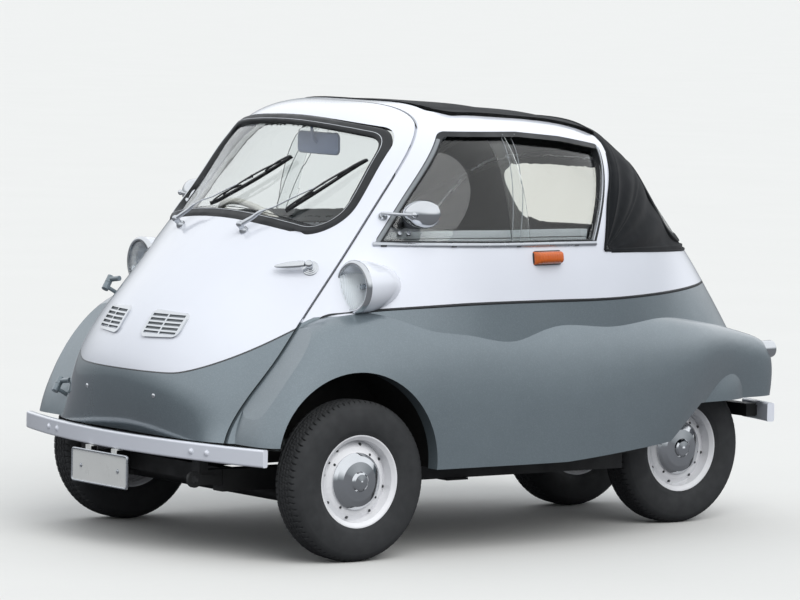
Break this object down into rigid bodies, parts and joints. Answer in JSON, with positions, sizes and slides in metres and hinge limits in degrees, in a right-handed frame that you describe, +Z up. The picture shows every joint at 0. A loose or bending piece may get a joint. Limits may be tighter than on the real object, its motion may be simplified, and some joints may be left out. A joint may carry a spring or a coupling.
{
  "type": "bubble car with a front door and a folding top",
  "caption": "Small two-seat car with a front-opening door, wide front and narrow rear wheels, and a fabric folding top.",
  "frame": {"origin": "on the floor under the middle of the car's box", "axes": "+X forwards, towards the door and bumper; +Y to the car's left; +Z up"},
  "size_m": [2.283, 1.3804, 1.33],
  "materials": {
    "white_enamel": "gloss enamel",
    "grey_enamel": "metallic enamel",
    "black_paint": "satin",
    "chrome_plate": "polished",
    "rim_white": "gloss",
    "tyre_rubber": "matt",
    "clear_glass": "clear",
    "seal_rubber": "satin",
    "rail_alloy": "brushed",
    "hood_cloth": "woven",
    "seat_vinyl": "grained",
    "amber_lens": "clear",
    "red_lens": "clear",
    "grey_plastic": "satin"
  },
  "bodies": {
    "body": {"chassis_frame": "black_paint", "rear_subframe": "black_paint", "floor_pan": "black_paint", "wheel_housings": "black_paint", "rear_bulkhead": "black_paint", "left_upper_side": "white_enamel", "right_upper_side": "white_enamel", "roof_header": "white_enamel", "rear_deck": "white_enamel", "left_wing": "grey_enamel", "right_wing": "grey_enamel", "tail_panel": "grey_enamel", "soft_top": "hood_cloth", "rear_window": "clear_glass", "side_glass": "clear_glass", "window_rails": "rail_alloy", "headlights": "white_enamel", "side_indicators": "amber_lens", "tail_lamps": "red_lens", "side_mirrors": "chrome_plate", "front_bumper": "white_enamel", "rear_bumpers": "white_enamel", "number_plate": "rim_white", "hinge_brackets": "black_paint", "front_axle": "black_paint", "rear_suspension": "black_paint", "engine_block": "rail_alloy", "seat_cushion": "seat_vinyl", "seat_backrest": "seat_vinyl", "seat_frame": "black_paint", "gear_lever": "grey_plastic"},
    "door": {"door_shell": "white_enamel", "windscreen": "clear_glass", "windscreen_seal": "seal_rubber", "door_vents": "chrome_plate", "door_handle": "chrome_plate", "wipers": "seal_rubber", "door_hinges": "black_paint", "steering_column": "black_paint"},
    "steering": {"steering_wheel": "grey_plastic"},
    "left_swivel": {"left_knuckle": "black_paint"},
    "right_swivel": {"right_knuckle": "black_paint"},
    "front_left_roller": {"front_left_tyre": "tyre_rubber", "front_left_rim": "rim_white", "front_left_hubcap": "chrome_plate"},
    "front_right_roller": {"front_right_tyre": "tyre_rubber", "front_right_rim": "rim_white", "front_right_hubcap": "chrome_plate"},
    "rear_rollers": {"rear_tyres": "tyre_rubber", "rear_rims": "rim_white", "rear_hubcaps": "chrome_plate", "rear_axle": "black_paint"}
  },
  "joints": [
    {"name": "door_hinge", "type": "hinge", "parent": "body", "child": "door", "pos_m": [1.032, -0.47, 0.44], "axis": [0.5793, 0.1791, -0.7952], "range_deg": [0, 85]},
    {"name": "steering_turn", "type": "hinge", "parent": "door", "child": "steering", "pos_m": [0.465, -0.14, 0.87], "axis": [-0.6947, 0, 0.7193], "range_deg": [-340, 340]},
    {"name": "left_kingpin", "type": "hinge", "parent": "body", "child": "left_swivel", "pos_m": [0.7, 0.54, 0.238], "axis": [0, 0, 1], "range_deg": [-28, 28]},
    {"name": "right_kingpin", "type": "hinge", "parent": "body", "child": "right_swivel", "pos_m": [0.7, -0.54, 0.238], "axis": [0, 0, 1], "range_deg": [-28, 28]},
    {"name": "front_left_spin", "type": "hinge", "parent": "left_swivel", "child": "front_left_roller", "pos_m": [0.7, 0.6, 0.238], "axis": [0, 1, 0], "continuous": true},
    {"name": "front_right_spin", "type": "hinge", "parent": "right_swivel", "child": "front_right_roller", "pos_m": [0.7, -0.6, 0.238], "axis": [0, 1, 0], "continuous": true},
    {"name": "rear_spin", "type": "hinge", "parent": "body", "child": "rear_rollers", "pos_m": [-0.8, 0.26, 0.238], "axis": [0, 1, 0], "continuous": true}
  ],
  "couplings": [
    {"joint": "right_kingpin", "follows": "left_kingpin", "ratio": 1},
    {"joint": "steering_turn", "follows": "left_kingpin", "ratio": 12}
  ]
}
